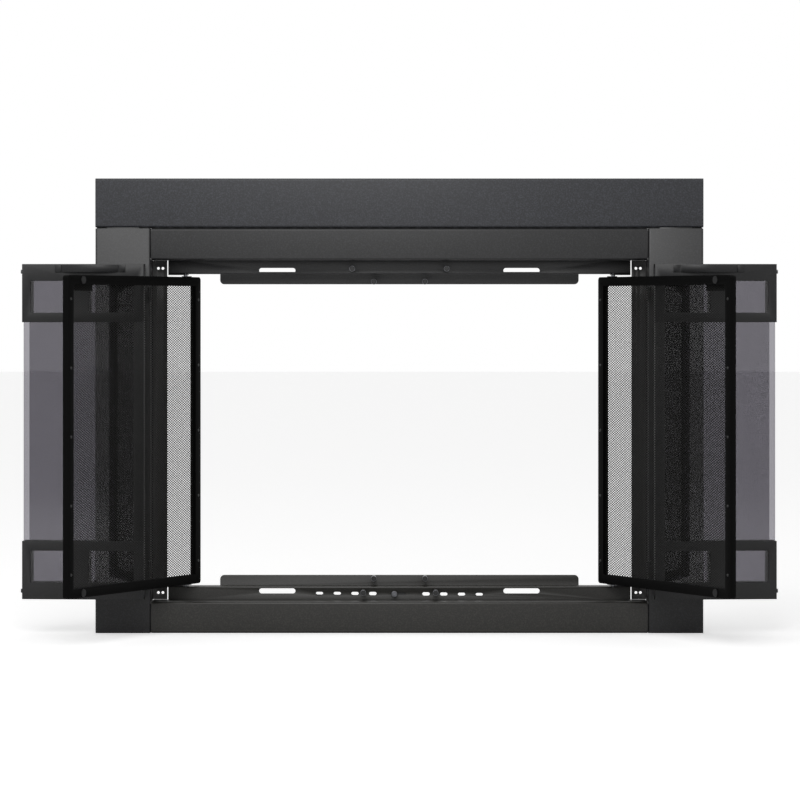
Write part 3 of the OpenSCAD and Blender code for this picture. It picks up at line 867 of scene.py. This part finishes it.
@dataclass
class CatchSet:
    """A set of magnetic catches: a black cup, its thin bright rim and the dished magnet face."""

    node: str
    upper_x_mm: float
    lower_x_mm: float
    palette: Palette
    cup_r_mm: float = 5.25
    rim_mm: float = 0.7
    dish_mm: float = 1.2
    slope_rims: tuple[float, float] = (1.2, 0.6)  # the dish's slope, in rim widths from the rim
    rim_round: float = 0.3  # the part of the rim's width that its rounding takes
    lip_mm: float = 0.3
    rim_deep_mm: float = 6.0
    facets: int = 28

    def centres(self) -> list[Vector]:
        """Gives the centre of each catch's front face."""
        low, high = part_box(self.node)
        inset = self.cup_r_mm * MM
        rows = ((self.upper_x_mm, high.z - inset), (self.lower_x_mm, low.z + inset))
        return [Vector((s * x * MM, low.y, z)) for x, z in rows for s in (-1, 1)]

    def build(self) -> None:
        """Makes the cups and their rims in place of the CAD posts."""
        low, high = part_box(self.node)
        r, rim, dish = self.cup_r_mm * MM, self.rim_mm * MM, self.dish_mm * MM
        depth = high.y - low.y
        core = r - rim
        foot, brow = self.slope_rims
        cup = [
            (0.0, dish),
            (core - foot * rim, dish),
            (core - brow * rim, dish / 2),
            (core, dish / 2),
            (core, depth),
            (0.0, depth),
        ]
        lip, back = self.lip_mm * MM, self.rim_deep_mm * MM
        ring = [
            (core, lip),
            (core + self.rim_round * rim, 0.0),
            (r - self.rim_round * rim, 0.0),
            (r, lip),
            (r, back),
            (core, back),
            (core, lip),
        ]
        cups, rims = [], []
        for centre in self.centres():
            cups.append(Bench.turned(cup, centre, self.facets))
            rims.append(Bench.turned(ring, centre, self.facets))
        body = body_of_node(self.node)
        cups, rims = Bench.join(cups), Bench.join(rims)
        oxide, plated = self.palette.oxide, self.palette.plated
        Bench.finish(cups, self.node + "_cups", body, Slot.BRIGHT, oxide, (self.node,))
        Bench.finish(rims, self.node + "_rims", body, Slot.BRIGHT, plated)


# The knob's face: its middle dimple, as a share of the radius and a depth in millimetres, and one
# groove, as the share of the radius past the groove's edge and a depth in millimetres.
KNOB_DIMPLE = ((0.0, 0.5), (0.18, 0.5), (0.24, 0.0))
KNOB_GROOVE = ((0.0, 0.0), (0.05, 0.6), (0.1, 0.6), (0.15, 0.0))


@dataclass
class DamperKnob:
    """The damper's knob: a turned button on a stem, with rings cut in its face."""

    palette: Palette
    node: str = "damper_knob"
    stem_r_mm: float = 2.0
    head_mm: float = 7.0
    grooves: int = 2
    first_groove: float = 0.42
    groove_step: float = 0.24
    face_r: float = 0.9
    back_r: float = 0.92
    round_mm: float = 0.8
    facets: int = 40

    def build(self) -> None:
        """Turns the knob from one profile."""
        low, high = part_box(self.node)
        r = (high.x - low.x) / 2
        stem, depth, head = self.stem_r_mm * MM, high.y - low.y, self.head_mm * MM
        face = [(share * r, deep * MM) for share, deep in KNOB_DIMPLE]
        for groove in range(self.grooves):
            edge = self.first_groove + self.groove_step * groove
            face += [((edge + share) * r, deep * MM) for share, deep in KNOB_GROOVE]
        bend = self.round_mm * MM
        side = [(self.face_r * r, 0.0), (r, bend), (r, head - bend), (self.back_r * r, head)]
        tail = [(stem, head), (stem, depth), (0.0, depth)]
        centre = Vector(((low.x + high.x) / 2, low.y, (low.z + high.z) / 2))
        knob = Bench.turned(face + side + tail, centre, self.facets)
        body = body_of_node(self.node)
        Bench.finish(knob, "turned_knob", body, Slot.BRIGHT, self.palette.plated, (self.node,))


# ---- The whole door ----


@dataclass
class Door:
    """The door's CAD nodes and the finish that each takes."""

    palette: Palette
    sheet: FoldedSheet = field(default_factory=FoldedSheet)

    def finish_of(self, node: str, slot: str) -> bpy.types.Material:
        """Chooses the finish of a node.

        Args:
            node: The CAD node.
            slot: Its material slot.

        Returns:
            The material.
        """
        if slot == Slot.GLASS.value:
            return self.palette.glass
        if slot == Slot.GASKET.value:
            return self.palette.rope
        if slot == Slot.BRIGHT.value:
            return self.palette.oxide if "mesh_strikes" in node else self.palette.plated
        if "mesh_frame" in node or "mesh_pull" in node:
            return self.palette.mesh
        if slot == Slot.DARK.value and not node.endswith("handle"):
            return self.palette.oxide
        # The lintel's coat carries a painted sheen.
        if node == "lintel_fascia":
            return self.palette.lintel
        # The jambs' coat carries painted light.
        if node.endswith("jamb"):
            return self.palette.jamb
        # The sill's coat carries a painted sheen.
        if node in ("sill_rail", "bottom_channel", "bottom_stop_plate"):
            return self.palette.sill
        if "outer" in node or "inner" in node or node.endswith("handle"):
            return self.palette.door
        return self.palette.frame

    def dress(self) -> None:
        """Gives every CAD node its finish, and every black sheet part its eased edges."""
        for part in frame["record"]["subparts"]:
            node, slot = part["node"], part["material_slot"]
            material = self.finish_of(node, slot)
            shown = frame["nodes"][node]
            shown.data.materials.clear()
            shown.data.materials.append(material)
            if slot in (Slot.BLACK.value, Slot.DARK.value) and not node.endswith("mesh_screen"):
                self.sheet.ease(node, Slot(slot), material)


@dataclass(frozen=True)
class SoftBox:
    """A soft box: its place, the point that it faces and its size in metres, and its watts."""

    name: str
    at: tuple[float, float, float]
    aim: tuple[float, float, float]
    size: tuple[float, float]
    power: float

    def hang(self) -> None:
        """Hangs the soft box in the studio."""
        bpy.ops.object.light_add(type="AREA", location=self.at)
        lamp = bpy.context.object
        lamp.name = self.name
        facing = Vector(self.aim) - Vector(self.at)
        lamp.rotation_euler = facing.to_track_quat("-Z", "Y").to_euler()
        lamp.data.shape = "RECTANGLE"
        lamp.data.size, lamp.data.size_y = self.size
        lamp.data.energy = self.power


SOFT_BOXES = (
    SoftBox("key_box", at=(-0.9, -3.5, 2.9), aim=(0.0, 0.0, 0.35), size=(2.8, 2.0), power=66.0),
    SoftBox("front_box", at=(0.0, -3.4, 1.75), aim=(0.0, 0.0, 0.7), size=(0.9, 0.5), power=9.0),
)


@dataclass
class Studio:
    """A pale floor, soft light from above and in front, and a distant, level camera."""

    camera_back_mm: float = 6319.0
    camera_z_mm: float = 587.4
    lens_mm: float = 152.46
    sensor_mm: float = 36.0
    view_end_m: float = 100.0
    shift_x: float = 0.00075
    shift_y: float = -0.10375
    ambient: float = 0.5
    floor_m: float = 60.0

    def camera(self) -> None:
        """Sets the camera level and square to the door."""
        place = (0.0, -self.camera_back_mm * MM, self.camera_z_mm * MM)
        bpy.ops.object.camera_add(location=place, rotation=NORMAL_Y)
        camera = bpy.context.object
        camera.data.lens = self.lens_mm
        camera.data.sensor_width = self.sensor_mm
        camera.data.shift_x = self.shift_x
        camera.data.shift_y = self.shift_y
        camera.data.clip_end = self.view_end_m
        bpy.context.scene.camera = camera

    def world(self) -> None:
        """Lights the room evenly, and shows it white to the eye, in gloss and through glass."""
        world = bpy.data.worlds.new("room")
        bpy.context.scene.world = world
        world.use_nodes = True
        tree = world.node_tree
        tree.nodes.clear()
        path, seen = seen_rays(tree)
        shown = join_values(tree, "MAXIMUM", seen, path.outputs["Is Glossy Ray"])
        strength = remap(tree, shown, (0.0, 1.0), (self.ambient, 1.0))
        room = add_node(tree, "Background", {"Color": linear(WHITE), "Strength": strength})
        add_node(tree, "OutputWorld", {"Surface": room.outputs[0]})

    def floor(self) -> None:
        """Lays the floor that the door stands on."""
        Bench.clear()
        bpy.ops.mesh.primitive_plane_add(size=self.floor_m, location=(0.0, 0.0, 0.0))
        floor = bpy.context.object
        floor.name = "studio_floor"
        floor.data.materials.append(PaleFloor().make())

    def build(self) -> None:
        """Sets up the room."""
        self.camera()
        self.world()
        self.floor()
        for soft_box in SOFT_BOXES:
            soft_box.hang()
        bpy.context.scene.view_settings.view_transform = "Standard"


def main() -> None:
    """Dresses the door and sets up the studio."""
    logging.basicConfig(level=logging.INFO, format="%(message)s")
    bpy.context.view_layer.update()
    Studio().build()
    palette = Palette()
    Door(palette).dress()
    for side in Side:
        MeshDoor(side, palette).build()
    JointRope(palette).build()
    CatchSet("glass_door_catches", upper_x_mm=88.0, lower_x_mm=67.5, palette=palette).build()
    CatchSet("mesh_door_catches", upper_x_mm=48.0, lower_x_mm=48.0, palette=palette).build()
    DamperKnob(palette).build()


if __name__ == "__main__":
    main()
